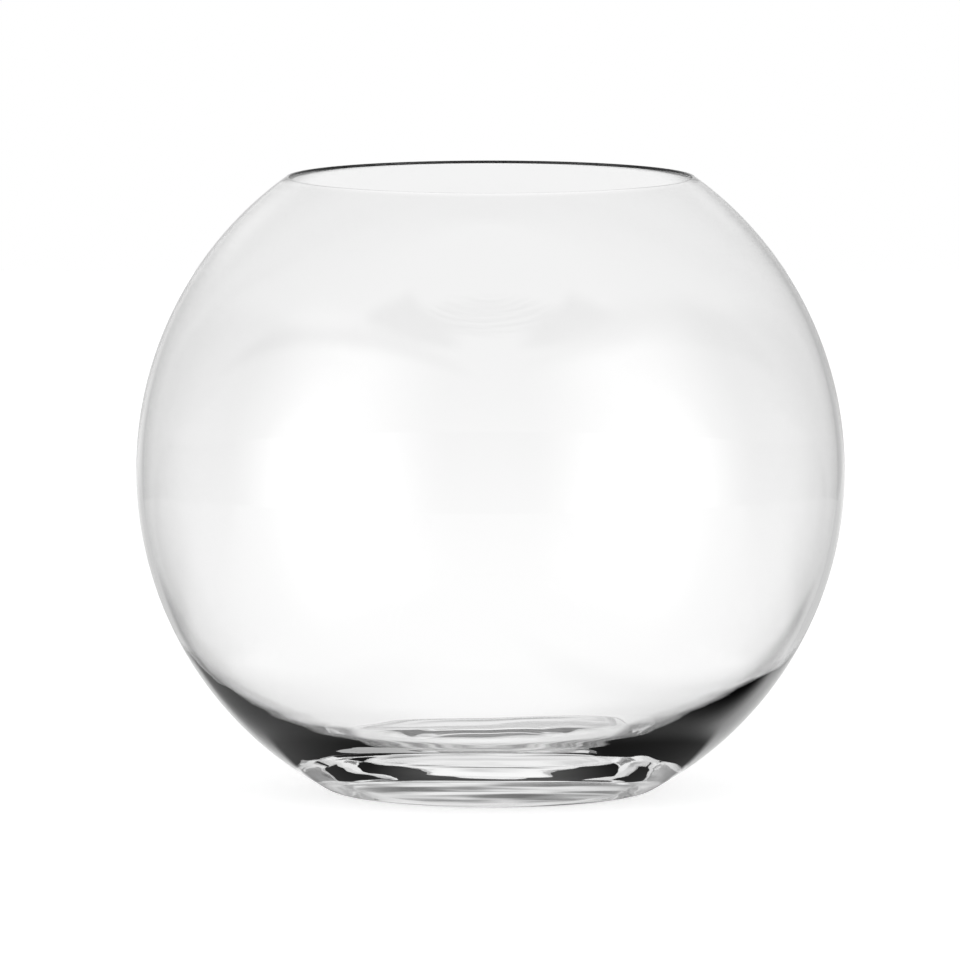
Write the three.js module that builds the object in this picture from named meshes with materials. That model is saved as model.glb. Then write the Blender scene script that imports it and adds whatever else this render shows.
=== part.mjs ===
// Glass ball vase: one piece of blown clear glass, turned about the upright axis.
// Millimetres, +Z up, with the origin on the axis in the plane that the vase stands on.
//
// The outer skin is a ball, a little taller than wide. It is cut off at the mouth, where the
// wall ends in a half-round rim, and flattened at the foot, where a rounded heel leads down to
// a flat standing ring. Inside, the wall thins upwards from the widest level to the rim. Well
// below the widest level the glass thickens, slowly at first, down to a nearly level floor. A
// shallow hollow under the foot leaves only the standing ring on the table.

import * as THREE from "three";

// Driving dimensions. Each can be set by itself.
const BALL_WIDTH = 200; // outer width at the widest point
const BALL_HEIGHT = 202.8; // outer height of the whole ball, before mouth and foot are cut
const MOUTH_WIDTH = 114.5; // width of the mouth, from the middle of the rim to the middle of the rim
const WALL = 2; // thickness of the blown wall at the widest level
const RIM_THICKNESS = 0.9; // thickness of the rim, which the wall thins to
const THINNING_POWER = 2; // how late it thins
const FOOT_WIDTH = 85; // width of the flat that the vase stands on
const HEEL_RADIUS = 9; // rounding from the foot into the ball
const STANDING_RING = 17; // how far the flat ring reaches in from the foot's edge
const HOLLOW_DEPTH = 1.5; // depth of the hollow under the foot, on the axis
const FLOOR_HEIGHT = 3.5; // from the standing plane up to the floor inside, on the axis
const THICKENING_START = 0.43; // where the wall starts to thicken, a share of the way to the bottom
const THICKENING_POWER = 2.6; // how late it thickens

// Fineness of the faceted solid
const SIDES = 72; // round the axis, a multiple of 4 so that the width is met exactly
const BALL_STEPS = 10; // along the skin, on each side of the widest point
const RIM_STEPS = 5;
const HEEL_STEPS = 4;
const HOLLOW_STEPS = 2;
const INSIDE_STEPS = 28;

const STRAIGHT_DOWN = -Math.PI / 2;
const WIDEST = 0;

const mouthRadius = MOUTH_WIDTH / 2;
const footRadius = FOOT_WIDTH / 2;
const hollowRadius = footRadius - STANDING_RING;

// Half width and half height of the ball at a depth under its skin
const halfWidth = (depth) => BALL_WIDTH / 2 - depth;
const halfHeight = (depth) => BALL_HEIGHT / 2 - depth;

// The angle above the widest level at which the ball under this depth has narrowed to a radius
const angleAtRadius = (radius, depth) => Math.acos(radius / halfWidth(depth));

// The heel rolls inside the skin and touches the standing plane at the foot's edge, and that
// sets how high the ball's centre stands.
const heelAngle = -angleAtRadius(footRadius, HEEL_RADIUS);
const centreHeight = HEEL_RADIUS - halfHeight(HEEL_RADIUS) * Math.sin(heelAngle);

// The rim is a half round over the middle of the wall.
const rimAngle = angleAtRadius(mouthRadius, RIM_THICKNESS / 2);

// How deep the floor lies inside the bottom of the whole ball, which the foot cuts off
const floorDepth = FLOOR_HEIGHT - (centreHeight - halfHeight(0));

// A point of the outline: distance from the axis, height above the standing plane
function pointInBall(depth, angle) {
  return new THREE.Vector2(
    halfWidth(depth) * Math.cos(angle),
    centreHeight + halfHeight(depth) * Math.sin(angle),
  );
}

function pointOnArc(centre, radius, angle) {
  return new THREE.Vector2(
    centre.x + radius * Math.cos(angle),
    centre.y + radius * Math.sin(angle),
  );
}

// How deep the inside lies under the skin, looking from the ball's centre at an angle
function insideDepth(angle) {
  const above = Math.max(Math.sin(angle), 0) / Math.sin(rimAngle);
  const below = Math.max(-Math.sin(angle) - THICKENING_START, 0) / (1 - THICKENING_START);
  const wall = WALL - (WALL - RIM_THICKNESS) * above ** THINNING_POWER;
  return wall + (floorDepth - WALL) * below ** THICKENING_POWER;
}

// Points of one stretch of the outline. Its first point is left out, because the stretch
// before it has ended there.
function stretch(from, to, steps, pointAt) {
  return Array.from({ length: steps }, (_, step) =>
    pointAt(THREE.MathUtils.lerp(from, to, (step + 1) / steps)),
  );
}

// The hollow under the foot, from the axis out to the standing ring
function hollowOutline() {
  const radius = (hollowRadius ** 2 + HOLLOW_DEPTH ** 2) / (2 * HOLLOW_DEPTH);
  const centre = new THREE.Vector2(0, HOLLOW_DEPTH - radius);
  const top = Math.PI / 2;
  const edge = Math.acos(hollowRadius / radius);
  return stretch(top, edge, HOLLOW_STEPS, (angle) => pointOnArc(centre, radius, angle));
}

function heelOutline() {
  const centre = new THREE.Vector2(footRadius, HEEL_RADIUS);
  return stretch(STRAIGHT_DOWN, heelAngle, HEEL_STEPS, (angle) =>
    pointOnArc(centre, HEEL_RADIUS, angle),
  );
}

function skinOutline() {
  const onSkin = (angle) => pointInBall(0, angle);
  return [
    ...stretch(heelAngle, WIDEST, BALL_STEPS, onSkin),
    ...stretch(WIDEST, rimAngle, BALL_STEPS, onSkin),
  ];
}

function rimOutline() {
  const centre = pointInBall(RIM_THICKNESS / 2, rimAngle);
  return stretch(rimAngle, rimAngle + Math.PI, RIM_STEPS, (angle) =>
    pointOnArc(centre, RIM_THICKNESS / 2, angle),
  );
}

function insideOutline() {
  return stretch(rimAngle, STRAIGHT_DOWN, INSIDE_STEPS, (angle) =>
    pointInBall(insideDepth(angle), angle),
  );
}

// The whole outline, from the axis under the foot, up the outside, over the rim and down the
// inside to the axis again
function vaseOutline() {
  const outline = [
    new THREE.Vector2(0, HOLLOW_DEPTH),
    ...hollowOutline(),
    new THREE.Vector2(footRadius, 0),
    ...heelOutline(),
    ...skinOutline(),
    ...rimOutline(),
    ...insideOutline(),
  ];
  outline.at(-1).x = 0; // the cosine of a right angle is only nearly nothing
  return outline;
}

const clearGlass = new THREE.MeshStandardMaterial({
  color: 0xf1f4f3,
  roughness: 0.03,
  metalness: 0,
  transparent: true,
  opacity: 0.35,
});

function glassBody() {
  const geometry = new THREE.LatheGeometry(vaseOutline(), SIDES);
  geometry.rotateX(Math.PI / 2); // a lathe turns about Y
  const body = new THREE.Mesh(geometry, clearGlass);
  body.name = "glass_body";
  return body;
}

const vase = new THREE.Group();
vase.add(glassBody());

export default vase;
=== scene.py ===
"""Glass ball vase: the fine glass body, its glass, a white table in a grey studio, and the camera."""

import math

import bmesh
import bpy
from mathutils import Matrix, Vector, noise


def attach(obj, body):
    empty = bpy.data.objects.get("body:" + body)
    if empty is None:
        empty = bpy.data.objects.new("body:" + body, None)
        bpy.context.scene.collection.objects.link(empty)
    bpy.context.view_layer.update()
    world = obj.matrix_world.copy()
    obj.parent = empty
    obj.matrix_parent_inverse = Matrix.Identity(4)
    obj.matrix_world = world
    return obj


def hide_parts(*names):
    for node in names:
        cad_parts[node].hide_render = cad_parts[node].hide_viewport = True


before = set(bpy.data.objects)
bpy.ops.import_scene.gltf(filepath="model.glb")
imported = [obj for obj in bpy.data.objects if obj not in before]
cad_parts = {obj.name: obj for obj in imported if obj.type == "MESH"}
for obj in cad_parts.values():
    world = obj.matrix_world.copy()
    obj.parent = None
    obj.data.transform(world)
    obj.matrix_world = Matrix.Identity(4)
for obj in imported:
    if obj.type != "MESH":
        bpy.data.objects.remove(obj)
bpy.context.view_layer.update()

# The vase, in metres: the same outline as the solid's, cut much finer
BALL_RADIUS = 0.100
BALL_HALF_HEIGHT = 0.1014
MOUTH_RADIUS = 0.05725
WALL = 0.002
RIM_THICKNESS = 0.0009
THINNING_POWER = 2
FOOT_RADIUS = 0.0425
HEEL_RADIUS = 0.009
STANDING_RING = 0.017
HOLLOW_DEPTH = 0.0015
FLOOR_HEIGHT = 0.0035
THICKENING_START = 0.43
THICKENING_POWER = 2.6

# How the glass wanders from the turned shape: slow waves, finer streaks that run round the axis, and a swell
# low on the right. The waves and streaks are invented. The swell is a guess, from the broader dark crescent
# there.
WAVE_DEPTH = 0.00005
WAVE_LENGTH = 0.022
SECOND_WAVES_PER_WAVE = 2.3
WAVE_TOP = 0.075
STREAK_DEPTH = 0.00004
STREAK_WIDTH = 0.004
STREAK_TURNS = 0.5
STREAK_TOP = 0.045
STREAK_FREE_RADIUS = 0.02
SWELL_DEPTH = 0.0008
SWELL_HEIGHT = 0.022
SWELL_REACH = 0.016
HEEL_STREAK_DEPTH = 0.0001
HEEL_STREAK_WIDTH = 0.002
HEEL_STREAK_TOP = 0.015

# How squarely a point has to face the ball's centre to belong to the inside, where 1 is straight at it
INSIDE_FACES_INWARD = 0.5

# A bump in the shading alone, too slight for the mesh
FINE_WAVES_PER_METRE = 60
FINE_WAVE_DEPTH = 0.000005

GLASS_INDEX = 1.5

# Fineness of the mesh: round the axis, and along each stretch of the outline
SIDES = 192
HOLLOW_STEPS = 12
RING_STEPS = 6
HEEL_STEPS = 24
SKIN_STEPS = 120
RIM_STEPS = 14
WALL_STEPS = 70
BASE_STEPS = 180
MERGE_DISTANCE = 0.000001

# Worked out from the sizes
STRAIGHT_DOWN = -math.pi / 2
HOLLOW_RADIUS = FOOT_RADIUS - STANDING_RING
HEEL_ANGLE = -math.acos(FOOT_RADIUS / (BALL_RADIUS - HEEL_RADIUS))
CENTRE_HEIGHT = HEEL_RADIUS - (BALL_HALF_HEIGHT - HEEL_RADIUS) * math.sin(HEEL_ANGLE)
RIM_ANGLE = math.acos(MOUTH_RADIUS / (BALL_RADIUS - RIM_THICKNESS / 2))
THICK_ANGLE = -math.asin(THICKENING_START)
FLOOR_DEPTH = FLOOR_HEIGHT - (CENTRE_HEIGHT - BALL_HALF_HEIGHT)

# The table, and the strip of its paper that runs on behind the vase
TABLE_RADIUS = 0.7
TABLE_DROP = 0.0001
TABLE_EDGE_STEPS = 90
STRIP_HALF_WIDTH = 0.35
STRIP_END = 1.7

# What the glass gathers from the paper, where 1 is white, while the camera itself sees plain white paper. The
# strip falls off to the backdrop's light. The table is grey to both sides, beside the vase and behind it. It
# has a painted shadow under the front of the foot, streaked with painted caustic light, a painted contact
# shadow in a ring at the foot's front corners and sides, and the ball's soft painted shadow slantwise on each
# side. All of it was fitted to one photograph, and stands in for surroundings that the photograph doesn't
# show.
STRIP_FADE = (0.45, 1.5)
SIDE_PAPER_LIGHT = 0.6
SIDE_PAPER_OUT = (0.112, 0.132)
SIDE_PAPER_BACK = (-0.086, 0)
SIDE_PAPER_TURN = (8, 28)
# Painted shadow under the front of the foot, streaked with painted caustic light
SHADE_LIGHT = (0.12, 0.92)
SHADE_CONTRAST = (0.36, 0.64)
SHADE_CAUSTICS_OUTWARD = 300
SHADE_CAUSTICS_ASIDE = 25
SHADE_REACH = (0.05, 0.06)
SHADE_FRONT = (0.011, 0.021)
# Painted contact shadow in a ring round the foot's front corners and sides
FOOT_SHADOW_RING_LIGHT = 0.12
FOOT_SHADOW_RING_STARTS = (0.039, 0.046)
FOOT_SHADOW_RING_ENDS = (0.07, 0.084)
FOOT_SHADOW_RING_OUT = (0.015, 0.04)
FOOT_SHADOW_RING_BACK = (-0.004, 0.01)
# Painted shadow of the ball, soft and slanting, on each side
LEFT_SHADOW_PATCH = dict(
    side=-1,
    middle=(0.131, 0.078, 0),
    half_size=(0.164, 0.0245, 1),
    turn=math.radians(64),
    soft=0.51,
    light=0.34,
)
RIGHT_SHADOW_PATCH = dict(
    side=1,
    middle=(0.12, 0.024, 0),
    half_size=(0.128, 0.013, 1),
    turn=math.radians(58),
    soft=0.75,
    light=0.02,
)

# The paper as the camera sees it: its own grey, and a glow that lifts it to white
PAPER_COLOUR = (0.8, 0.8, 0.8, 1)
PAPER_ROUGHNESS = 0.8
PAPER_GLOW = 0.57

# What it gathers from the room. Directions are in degrees, up from level and round from straight behind the
# vase, with the left side below 0. A pair is where something starts to change and where it has changed. A
# panel is the side it stands on and the turns that it starts and ends at.
FLANK_LIGHT = 0.5
NEAR_WALL_LIGHT = 0.8
NEAR_WALL_STARTS = (115, 137)
CEILING_BACK_LIGHT = 0.5
CEILING_NEAR_LIGHT = 0.85
CEILING_NEAR_STARTS = (50, 123)
CEILING_STARTS = (19, 46)
BACKDROP_LIGHT = 0.89
BACKDROP_MIDDLE = -3
BACKDROP_EDGE = (7, 23)
BACKDROP_WIDENS = 14
BACKDROP_WIDENS_OVER = (5, 20)
BACKDROP_ENDS = (12, 37)
PANEL_LIGHT = 1.89
PANEL_SIDES = ((-1, 100, 148), (1, 100, 150))
PANEL_SOFT = 19
PANEL_STARTS = (-18, -7)
PANEL_ENDS = (32, 49)

# The camera, read from the ball's outline and the ellipse of the mouth
VIEW_DISTANCE = 4.5
VIEW_ELEVATION = math.radians(5.65)
PIXELS = 960
BALL_RADIUS_PIXELS = 354.5
BALL_RIGHT_PIXELS = 10.5
BALL_UP_PIXELS = 10.0


def point_in_ball(depth, angle):
    """A point of the outline at a depth under the skin, as distance from the axis and height."""
    return (
        (BALL_RADIUS - depth) * math.cos(angle),
        CENTRE_HEIGHT + (BALL_HALF_HEIGHT - depth) * math.sin(angle),
    )


def point_on_arc(centre, radius, angle):
    return centre[0] + radius * math.cos(angle), centre[1] + radius * math.sin(angle)


def inside_depth(angle):
    """How deep the inside lies under the skin: a wall that thins to the rim, and a base that thickens."""
    above = max(math.sin(angle), 0) / math.sin(RIM_ANGLE)
    below = max(-math.sin(angle) - THICKENING_START, 0) / (1 - THICKENING_START)
    wall = WALL - (WALL - RIM_THICKNESS) * above**THINNING_POWER
    return wall + (FLOOR_DEPTH - WALL) * below**THICKENING_POWER


def stretch(start, end, steps, point_at):
    """Points along one stretch of the outline, without its first, where the last stretch ended."""
    return [point_at(start + (end - start) * (step + 1) / steps) for step in range(steps)]


def vase_outline():
    """From the axis under the foot, up the outside, over the rim, down the inside to the axis."""
    hollow_sphere = (HOLLOW_RADIUS**2 + HOLLOW_DEPTH**2) / (2 * HOLLOW_DEPTH)
    hollow_centre = (0, HOLLOW_DEPTH - hollow_sphere)
    hollow_edge = math.acos(HOLLOW_RADIUS / hollow_sphere)
    heel_centre = (FOOT_RADIUS, HEEL_RADIUS)
    rim_radius = RIM_THICKNESS / 2
    rim_centre = point_in_ball(rim_radius, RIM_ANGLE)

    def on_hollow(angle):
        return point_on_arc(hollow_centre, hollow_sphere, angle)

    def on_ring(radius):
        return radius, 0

    def on_heel(angle):
        return point_on_arc(heel_centre, HEEL_RADIUS, angle)

    def on_skin(angle):
        return point_in_ball(0, angle)

    def on_rim(angle):
        return point_on_arc(rim_centre, rim_radius, angle)

    def on_inside(angle):
        return point_in_ball(inside_depth(angle), angle)

    points = [(0, HOLLOW_DEPTH)]
    points += stretch(math.pi / 2, hollow_edge, HOLLOW_STEPS, on_hollow)
    points += stretch(HOLLOW_RADIUS, FOOT_RADIUS, RING_STEPS, on_ring)
    points += stretch(STRAIGHT_DOWN, HEEL_ANGLE, HEEL_STEPS, on_heel)
    points += stretch(HEEL_ANGLE, RIM_ANGLE, SKIN_STEPS, on_skin)
    points += stretch(RIM_ANGLE, RIM_ANGLE + math.pi, RIM_STEPS, on_rim)
    points += stretch(RIM_ANGLE, THICK_ANGLE, WALL_STEPS, on_inside)
    points += stretch(THICK_ANGLE, STRAIGHT_DOWN, BASE_STEPS, on_inside)
    points[-1] = (0, points[-1][1])
    return points


def turned(outline):
    """The outline spun round the axis into a closed skin."""
    bm = bmesh.new()
    verts = [bm.verts.new((radius, 0, height)) for radius, height in outline]
    edges = [bm.edges.new(pair) for pair in zip(verts, verts[1:])]
    bmesh.ops.spin(
        bm,
        geom=verts + edges,
        axis=(0, 0, 1),
        cent=(0, 0, 0),
        steps=SIDES,
        angle=math.tau,
        use_merge=True,
    )
    bmesh.ops.remove_doubles(bm, verts=bm.verts, dist=MERGE_DISTANCE)
    bmesh.ops.recalc_face_normals(bm, faces=bm.faces)
    return bm


def streak(place, width):
    """Noise that is drawn out round the axis and changes quickly outward and upward."""
    radius = math.hypot(place.x, place.y)
    turn = math.atan2(place.y, place.x)
    across = (radius + place.z) / width
    steady = min(radius / STREAK_FREE_RADIUS, 1) ** 2
    round_axis = Vector((math.cos(turn), math.sin(turn), 0)) * STREAK_TURNS
    return noise.noise(round_axis + Vector((0, 0, across))) * steady


def blow(bm):
    """Let the skin wander a little, most in the thick base, as glass does that is blown and turned by hand.
    The inside waves both ways and swells. The outside only gives way inward, near the table, and the
    standing ring stays flat."""
    bm.normal_update()
    centre = Vector((0, 0, CENTRE_HEIGHT))
    for vert in bm.verts:
        faces_inward = -vert.normal.dot((vert.co - centre).normalized())
        if faces_inward > INSIDE_FACES_INWARD:
            slow = noise.noise(vert.co / WAVE_LENGTH)
            slow += noise.noise(vert.co * SECOND_WAVES_PER_WAVE / WAVE_LENGTH) / 2
            slow *= min(max((WAVE_TOP - vert.co.z) / WAVE_TOP, 0), 1)
            fine = streak(vert.co, STREAK_WIDTH) * min(max((STREAK_TOP - vert.co.z) / STREAK_TOP, 0), 1)
            swell = max(1 - ((vert.co.z - SWELL_HEIGHT) / SWELL_REACH) ** 2, 0) ** 2
            swell *= max(vert.co.x / math.hypot(vert.co.x, vert.co.y), 0) if swell else 0
            vert.co += vert.normal * (WAVE_DEPTH * slow + STREAK_DEPTH * fine + SWELL_DEPTH * swell)
        elif 0 < vert.co.z < HEEL_STREAK_TOP:
            dent = (1 + streak(vert.co, HEEL_STREAK_WIDTH)) / 2 * (1 - vert.co.z / HEEL_STREAK_TOP)
            vert.co -= vert.normal * HEEL_STREAK_DEPTH * dent


def link_piece(name, bm, material):
    for face in bm.faces:
        face.smooth = True
    mesh = bpy.data.meshes.new(name)
    bm.to_mesh(mesh)
    bm.free()
    mesh.materials.append(material)
    piece = bpy.data.objects.new(name, mesh)
    bpy.context.scene.collection.objects.link(piece)
    return piece


def node(tree, kind, **settings):
    """Adds a node. A setting is one of its properties, or a value or link for the input of that name, or of
    that number, as in i0 and i1."""
    made = tree.nodes.new("ShaderNode" + kind)
    for name, value in settings.items():
        if hasattr(made, name):
            setattr(made, name, value)
            continue
        socket = made.inputs[int(name[1:])] if name[0] == "i" and name[1:].isdigit() else made.inputs[name]
        if isinstance(value, bpy.types.NodeSocket):
            tree.links.new(value, socket)
        else:
            socket.default_value = value
    return made


def math_node(tree, operation, first, second=0.0):
    return node(tree, "Math", operation=operation, i0=first, i1=second).outputs[0]


def ease(tree, value, start, end):
    """Rises softly from 0 to 1 between two values."""
    return node(
        tree,
        "MapRange",
        interpolation_type="SMOOTHSTEP",
        Value=value,
        **{"From Min": start, "From Max": end, "To Min": 0.0, "To Max": 1.0},
    ).outputs["Result"]


def fine_waves():
    """A node group: the normal of glass that is smooth to the touch but not quite even."""
    group = bpy.data.node_groups.new("fine_waves", "ShaderNodeTree")
    group.interface.new_socket("Normal", in_out="OUTPUT", socket_type="NodeSocketVector")
    place = node(group, "TexCoord").outputs["Object"]
    waves = node(group, "TexNoise", Vector=place, Scale=FINE_WAVES_PER_METRE, Detail=1.0, Roughness=0.4)
    height = node(group, "Bump", Strength=1.0, Distance=FINE_WAVE_DEPTH, Height=waves.outputs[0])
    out = group.nodes.new("NodeGroupOutput")
    group.links.new(height.outputs["Normal"], out.inputs["Normal"])
    return group


def clear_glass():
    material = bpy.data.materials.new("clear_glass")
    material.use_nodes = True
    tree = material.node_tree
    shader = tree.nodes["Principled BSDF"]
    shader.inputs["Base Color"].default_value = (1, 1, 1, 1)
    shader.inputs["Metallic"].default_value = 0
    shader.inputs["Roughness"].default_value = 0
    shader.inputs["IOR"].default_value = GLASS_INDEX
    shader.inputs["Transmission Weight"].default_value = 1
    waves = tree.nodes.new("ShaderNodeGroup")
    waves.node_tree = fine_waves()
    tree.links.new(waves.outputs["Normal"], shader.inputs["Normal"])
    return material


def mix(tree, first, second, share):
    """Goes from the first value to the second as the share goes from 0 to 1."""
    return node(tree, "Mix", data_type="FLOAT", Factor=share, A=first, B=second).outputs["Result"]


def product(tree, *factors):
    result = factors[0]
    for factor in factors[1:]:
        result = math_node(tree, "MULTIPLY", result, factor)
    return result


def fall(tree, value, start, end):
    """Falls softly from 1 to 0 between two values."""
    return math_node(tree, "SUBTRACT", 1.0, ease(tree, value, start, end))


def table_light(tree):
    """The paper's light by place, as the glass gathers it, with its painted shadows and painted caustic
    light.
    """
    place = node(tree, "TexCoord").outputs["Object"]
    axes = node(tree, "SeparateXYZ", Vector=place).outputs
    aside = math_node(tree, "ABSOLUTE", axes["X"])
    light = mix(tree, 1.0, BACKDROP_LIGHT, ease(tree, axes["Y"], *STRIP_FADE))
    side = product(tree, ease(tree, aside, *SIDE_PAPER_OUT), ease(tree, axes["Y"], *SIDE_PAPER_BACK))
    turn = math_node(tree, "DEGREES", math_node(tree, "ARCTAN2", aside, axes["Y"]))
    side = product(tree, side, ease(tree, turn, *SIDE_PAPER_TURN))
    light = mix(tree, light, SIDE_PAPER_LIGHT, side)
    from_foot = node(tree, "VectorMath", operation="LENGTH", i0=place).outputs["Value"]
    in_front = math_node(tree, "MULTIPLY", axes["Y"], -1.0)
    # Painted shadow under the front of the foot, streaked with painted caustic light
    shade = product(tree, ease(tree, in_front, *SHADE_FRONT), fall(tree, from_foot, *SHADE_REACH))
    outward = math_node(tree, "MULTIPLY", from_foot, SHADE_CAUSTICS_OUTWARD)
    sideways = math_node(tree, "MULTIPLY", axes["X"], SHADE_CAUSTICS_ASIDE)
    drawn_out = node(tree, "CombineXYZ", X=outward, Y=sideways).outputs["Vector"]
    streaks = node(tree, "TexNoise", Vector=drawn_out, Scale=1.0)
    streaked = mix(tree, *SHADE_LIGHT, ease(tree, streaks.outputs[0], *SHADE_CONTRAST))
    light = mix(tree, light, streaked, shade)
    # Painted contact shadow in a ring beside the foot
    ring = product(tree, ease(tree, from_foot, *FOOT_SHADOW_RING_STARTS), fall(tree, from_foot, *FOOT_SHADOW_RING_ENDS))
    ring = product(tree, ring, ease(tree, aside, *FOOT_SHADOW_RING_OUT), fall(tree, axes["Y"], *FOOT_SHADOW_RING_BACK))
    light = mix(tree, light, FOOT_SHADOW_RING_LIGHT, ring)

    # The ball's painted shadow, soft and slanting, on each side
    for shadow_patch in (LEFT_SHADOW_PATCH, RIGHT_SHADOW_PATCH):
        to_its_side = math_node(tree, "MULTIPLY", axes["X"], shadow_patch["side"])
        spot = node(
            tree,
            "Mapping",
            vector_type="TEXTURE",
            Vector=node(tree, "CombineXYZ", X=to_its_side, Y=axes["Y"]).outputs["Vector"],
            Location=shadow_patch["middle"],
            Rotation=(0, 0, shadow_patch["turn"]),
            Scale=shadow_patch["half_size"],
        )
        off_spot = node(tree, "VectorMath", operation="LENGTH", i0=spot.outputs["Vector"]).outputs["Value"]
        light = mix(tree, shadow_patch["light"], light, ease(tree, off_spot, 1 - shadow_patch["soft"], 1 + shadow_patch["soft"]))
    return light


def table_paper():
    """White paper for the camera, and the light of table_light for rays that come by way of the glass."""
    material = bpy.data.materials.new("table_paper")
    material.use_nodes = True
    tree = material.node_tree
    paper = tree.nodes["Principled BSDF"]
    paper.inputs["Base Color"].default_value = PAPER_COLOUR
    paper.inputs["Roughness"].default_value = PAPER_ROUGHNESS
    paper.inputs["Specular IOR Level"].default_value = 0
    paper.inputs["Emission Color"].default_value = (1, 1, 1, 1)
    path = node(tree, "LightPath").outputs
    tree.links.new(product(tree, path["Is Camera Ray"], PAPER_GLOW), paper.inputs["Emission Strength"])

    gathered = node(tree, "Emission", Color=(1, 1, 1, 1), Strength=table_light(tree))
    by_glass = math_node(tree, "MAXIMUM", path["Is Glossy Ray"], path["Is Transmission Ray"])
    either = node(tree, "MixShader", Fac=by_glass, i1=paper.outputs["BSDF"], i2=gathered.outputs["Emission"])
    tree.links.new(either.outputs["Shader"], tree.nodes["Material Output"].inputs["Surface"])
    return material


def table():
    bm = bmesh.new()
    strip_turn = math.asin(STRIP_HALF_WIDTH / TABLE_RADIUS)
    arc = math.tau - 2 * strip_turn
    turns = [strip_turn + arc * step / TABLE_EDGE_STEPS for step in range(TABLE_EDGE_STEPS + 1)]
    edge = [(TABLE_RADIUS * math.sin(turn), TABLE_RADIUS * math.cos(turn)) for turn in turns]
    edge += [(-STRIP_HALF_WIDTH, STRIP_END), (STRIP_HALF_WIDTH, STRIP_END)]
    bm.faces.new([bm.verts.new((x, y, -TABLE_DROP)) for x, y in reversed(edge)])
    piece = link_piece("table", bm, table_paper())


def studio():
    """A grey room by direction: a nearly white backdrop, grey walls, a ceiling that is darker at the back,
    and a soft bright panel on each side of the camera. The camera itself sees white all round."""
    world = bpy.data.worlds.new("studio")
    bpy.context.scene.world = world
    world.use_nodes = True
    tree = world.node_tree
    tree.nodes.clear()
    axes = node(tree, "SeparateXYZ", Vector=node(tree, "TexCoord").outputs["Generated"]).outputs
    turn = math_node(tree, "DEGREES", math_node(tree, "ARCTAN2", axes["X"], axes["Y"]))
    rise = math_node(tree, "DEGREES", math_node(tree, "ARCSINE", axes["Z"]))
    aside = math_node(tree, "ABSOLUTE", turn)

    light = mix(tree, FLANK_LIGHT, NEAR_WALL_LIGHT, ease(tree, aside, *NEAR_WALL_STARTS))

    ceiling = mix(tree, CEILING_BACK_LIGHT, CEILING_NEAR_LIGHT, ease(tree, aside, *CEILING_NEAR_STARTS))
    light = mix(tree, light, ceiling, ease(tree, rise, *CEILING_STARTS))

    off_middle = math_node(tree, "ABSOLUTE", math_node(tree, "SUBTRACT", turn, BACKDROP_MIDDLE))
    wider = product(tree, ease(tree, rise, *BACKDROP_WIDENS_OVER), BACKDROP_WIDENS)
    off_middle = math_node(tree, "SUBTRACT", off_middle, wider)
    backdrop = product(tree, fall(tree, off_middle, *BACKDROP_EDGE), fall(tree, rise, *BACKDROP_ENDS))
    light = mix(tree, light, BACKDROP_LIGHT, backdrop)

    for side, start, end in PANEL_SIDES:
        sideways = math_node(tree, "MULTIPLY", turn, side)
        panel = product(
            tree,
            ease(tree, sideways, start - PANEL_SOFT, start + PANEL_SOFT),
            fall(tree, sideways, end - PANEL_SOFT, end + PANEL_SOFT),
            ease(tree, rise, *PANEL_STARTS),
            fall(tree, rise, *PANEL_ENDS),
        )
        light = mix(tree, light, PANEL_LIGHT, panel)

    light = mix(tree, light, 1.0, node(tree, "LightPath").outputs["Is Camera Ray"])
    background = node(tree, "Background", Color=(1, 1, 1, 1), Strength=light)
    node(tree, "OutputWorld", Surface=background.outputs["Background"])


def camera():
    data = bpy.data.cameras.new("camera")
    eye = bpy.data.objects.new("camera", data)
    bpy.context.scene.collection.objects.link(eye)
    bpy.context.scene.camera = eye
    pixels_per_metre = BALL_RADIUS_PIXELS / BALL_RADIUS
    data.sensor_width = 36
    data.lens = data.sensor_width * VIEW_DISTANCE * pixels_per_metre / PIXELS
    data.clip_end = 100
    ball_centre = Vector((0, 0, CENTRE_HEIGHT))
    right = Vector((1, 0, 0))
    up = Vector((0, math.sin(VIEW_ELEVATION), math.cos(VIEW_ELEVATION)))
    back = Vector((0, -math.cos(VIEW_ELEVATION), math.sin(VIEW_ELEVATION)))
    aim = ball_centre - (right * BALL_RIGHT_PIXELS + up * BALL_UP_PIXELS) / pixels_per_metre
    eye.location = ball_centre + back * VIEW_DISTANCE
    eye.rotation_euler = (aim - eye.location).to_track_quat("-Z", "Y").to_euler()


def glass_body():
    bm = turned(vase_outline())
    blow(bm)
    piece = link_piece("glass_body_fine", bm, clear_glass())
    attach(piece, "root")
    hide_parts("glass_body")


glass_body()
table()
studio()
camera()

scene = bpy.context.scene
scene.view_settings.view_transform = "Standard"

# Light that is still inside the thick base after this many bounces counts as black. The dark crescents low in
# the ball come mostly from that: with 32 bounces they turn pale. The number was picked.
BOUNCES = 10
scene.cycles.max_bounces = BOUNCES
scene.cycles.glossy_bounces = BOUNCES
scene.cycles.transmission_bounces = BOUNCES
